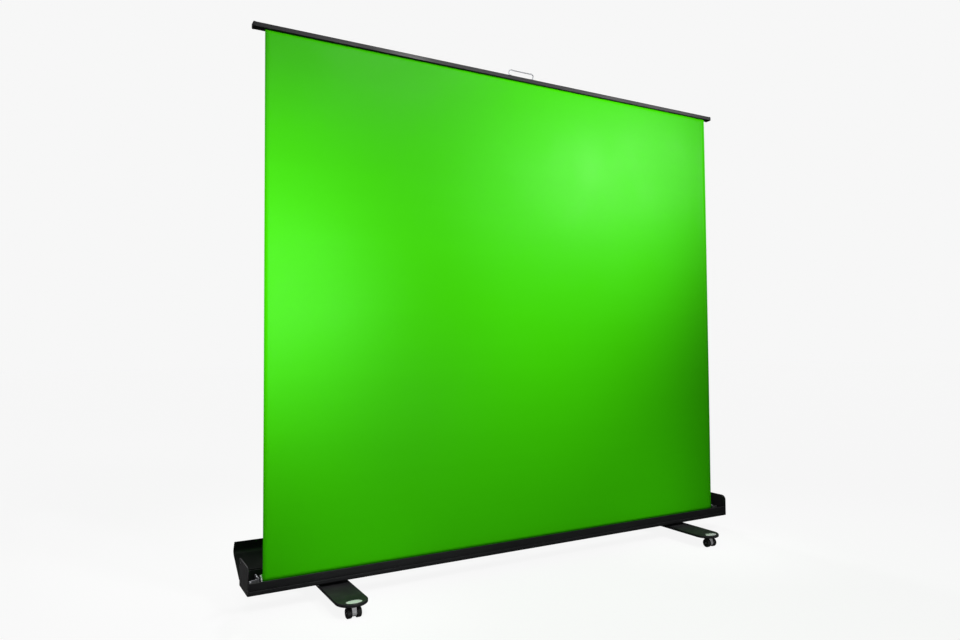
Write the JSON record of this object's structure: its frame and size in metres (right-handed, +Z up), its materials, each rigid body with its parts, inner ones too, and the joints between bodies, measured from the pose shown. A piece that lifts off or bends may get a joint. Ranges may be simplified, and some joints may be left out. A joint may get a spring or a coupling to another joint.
{
  "type": "collapsible backdrop panel",
  "caption": "Free-standing green backdrop that pulls up from a flat case on folding crossed arms, with a hinged lid and turn-out feet on twin-wheel castors.",
  "frame": {"origin": "on the floor, below the middle of the case", "axes": "+X along the panel to its right, -Y out of the green front face, +Z up"},
  "size_m": [2.108, 0.526, 1.9252],
  "materials": {
    "black_aluminium": "black powder coat, fine satin texture",
    "black_plastic": "moulded, fine grain",
    "steel": "zinc plated",
    "grey_metal": "satin, light wear",
    "rubber": "smooth tread",
    "green_cloth": "matt woven polyester, chroma green"
  },
  "bodies": {
    "case": {"tray": "black_aluminium", "end_cap_left": "black_plastic", "end_cap_right": "black_plastic", "roller_bracket_left": "steel", "roller_bracket_right": "steel", "roller_spindle": "steel", "idle_pin": "steel", "torsion_spring": "steel", "hinge_rod": "steel", "foot_bolt_left": "steel", "foot_bolt_right": "steel", "base_bracket_left": "steel", "base_bracket_right": "steel", "base_pin_left": "steel", "base_pin_right": "steel"},
    "roller": {"roller_tube": "grey_metal", "roller_plug_left": "black_plastic", "roller_plug_right": "black_plastic", "fabric_roll": "green_cloth"},
    "lower_arm_left": {"lower_arm_left": "black_aluminium", "elbow_pin_left": "steel", "elbow_washer_left": "black_plastic"},
    "upper_arm_left": {"upper_arm_left": "black_aluminium"},
    "lower_arm_right": {"lower_arm_right": "black_aluminium", "elbow_pin_right": "steel", "elbow_washer_right": "black_plastic"},
    "upper_arm_right": {"upper_arm_right": "black_aluminium"},
    "top_bar": {"top_bar": "black_aluminium", "bar_cap_left": "black_plastic", "bar_cap_right": "black_plastic", "top_bracket_left": "black_aluminium", "top_bracket_right": "black_aluminium", "top_pin_left": "steel", "top_pin_right": "steel", "handle_plate": "steel", "screen_fabric": "green_cloth"},
    "pull_handle": {"pull_handle": "steel"},
    "lid": {"lid_cover": "black_aluminium", "carry_bracket_left": "black_plastic", "carry_bracket_right": "black_plastic"},
    "carry_handle": {"carry_handle": "black_plastic"},
    "latch_left": {"latch_left": "steel"},
    "latch_right": {"latch_right": "steel"},
    "foot_left": {"foot_left": "black_plastic", "foot_badge_left_front": "grey_metal", "foot_badge_left_rear": "grey_metal"},
    "castor_left_front": {"castor_fork_left_front": "grey_metal"},
    "wheels_left_front": {"wheels_left_front": "rubber"},
    "castor_left_rear": {"castor_fork_left_rear": "grey_metal"},
    "wheels_left_rear": {"wheels_left_rear": "rubber"},
    "foot_right": {"foot_right": "black_plastic", "foot_badge_right_front": "grey_metal", "foot_badge_right_rear": "grey_metal"},
    "castor_right_front": {"castor_fork_right_front": "grey_metal"},
    "wheels_right_front": {"wheels_right_front": "rubber"},
    "castor_right_rear": {"castor_fork_right_rear": "grey_metal"},
    "wheels_right_rear": {"wheels_right_rear": "rubber"}
  },
  "joints": [
    {"name": "frame_fold", "type": "hinge", "parent": "case", "child": "lower_arm_left", "pos_m": [-0.65, 0.036, 0.09], "axis": [0, 1, 0], "range_deg": [0, 46], "deforming": ["screen_fabric"]},
    {"name": "elbow_fold_left", "type": "hinge", "parent": "lower_arm_left", "child": "upper_arm_left", "pos_m": [0.20077, 0.0315, 0.971], "axis": [0, 1, 0], "range_deg": [-92, 0]},
    {"name": "top_fold_left", "type": "hinge", "parent": "upper_arm_left", "child": "top_bar", "pos_m": [-0.65, 0.027, 1.852], "axis": [0, 1, 0], "range_deg": [0, 46]},
    {"name": "base_fold_right", "type": "hinge", "parent": "case", "child": "lower_arm_right", "pos_m": [0.65, 0.043, 0.09], "axis": [0, 1, 0], "range_deg": [-46, 0]},
    {"name": "elbow_fold_right", "type": "hinge", "parent": "lower_arm_right", "child": "upper_arm_right", "pos_m": [-0.20077, 0.0475, 0.971], "axis": [0, 1, 0], "range_deg": [0, 92]},
    {"name": "roller_spin", "type": "hinge", "parent": "case", "child": "roller", "pos_m": [0, -0.006, 0.0866], "axis": [1, 0, 0], "range_deg": [0, 4680]},
    {"name": "pull_handle_fold", "type": "hinge", "parent": "top_bar", "child": "pull_handle", "pos_m": [0, -0.02, 1.9011], "axis": [1, 0, 0], "range_deg": [-95, 80]},
    {"name": "lid_hinge", "type": "hinge", "parent": "case", "child": "lid", "pos_m": [0, 0.0693, 0.1045], "axis": [1, 0, 0], "range_deg": [0, 62]},
    {"name": "carry_handle_fold", "type": "hinge", "parent": "lid", "child": "carry_handle", "pos_m": [0, 0.14207, 0.08647], "axis": [1, 0, 0], "range_deg": [-60, 120]},
    {"name": "latch_left_swing", "type": "hinge", "parent": "lid", "child": "latch_left", "pos_m": [-0.35, 0.19152, 0.1664], "axis": [1, 0, 0], "range_deg": [-100, 0]},
    {"name": "latch_right_swing", "type": "hinge", "parent": "lid", "child": "latch_right", "pos_m": [0.35, 0.19152, 0.1664], "axis": [1, 0, 0], "range_deg": [-100, 0]},
    {"name": "foot_left_swivel", "type": "hinge", "parent": "case", "child": "foot_left", "pos_m": [-0.77, 0, 0.0458], "axis": [0, 0, 1], "range_deg": [0, 90]},
    {"name": "castor_left_front_swivel", "type": "hinge", "parent": "foot_left", "child": "castor_left_front", "pos_m": [-0.77, -0.22, 0.0365], "axis": [0, 0, 1], "continuous": true},
    {"name": "wheels_left_front_spin", "type": "hinge", "parent": "castor_left_front", "child": "wheels_left_front", "pos_m": [-0.77, -0.232, 0.017], "axis": [1, 0, 0], "continuous": true},
    {"name": "castor_left_rear_swivel", "type": "hinge", "parent": "foot_left", "child": "castor_left_rear", "pos_m": [-0.77, 0.22, 0.0365], "axis": [0, 0, 1], "continuous": true},
    {"name": "wheels_left_rear_spin", "type": "hinge", "parent": "castor_left_rear", "child": "wheels_left_rear", "pos_m": [-0.77, 0.208, 0.017], "axis": [1, 0, 0], "continuous": true},
    {"name": "foot_right_swivel", "type": "hinge", "parent": "case", "child": "foot_right", "pos_m": [0.77, 0, 0.0458], "axis": [0, 0, 1], "range_deg": [0, 90]},
    {"name": "castor_right_front_swivel", "type": "hinge", "parent": "foot_right", "child": "castor_right_front", "pos_m": [0.77, -0.22, 0.0365], "axis": [0, 0, 1], "continuous": true},
    {"name": "wheels_right_front_spin", "type": "hinge", "parent": "castor_right_front", "child": "wheels_right_front", "pos_m": [0.77, -0.232, 0.017], "axis": [1, 0, 0], "continuous": true},
    {"name": "castor_right_rear_swivel", "type": "hinge", "parent": "foot_right", "child": "castor_right_rear", "pos_m": [0.77, 0.22, 0.0365], "axis": [0, 0, 1], "continuous": true},
    {"name": "wheels_right_rear_spin", "type": "hinge", "parent": "castor_right_rear", "child": "wheels_right_rear", "pos_m": [0.77, 0.208, 0.017], "axis": [1, 0, 0], "continuous": true}
  ],
  "couplings": [
    {"joint": "elbow_fold_left", "follows": "frame_fold", "ratio": -2},
    {"joint": "top_fold_left", "follows": "frame_fold", "ratio": 1},
    {"joint": "base_fold_right", "follows": "frame_fold", "ratio": -1},
    {"joint": "elbow_fold_right", "follows": "frame_fold", "ratio": 2},
    {"joint": "roller_spin", "follows": "frame_fold", "ratio": 101.6}
  ]
}
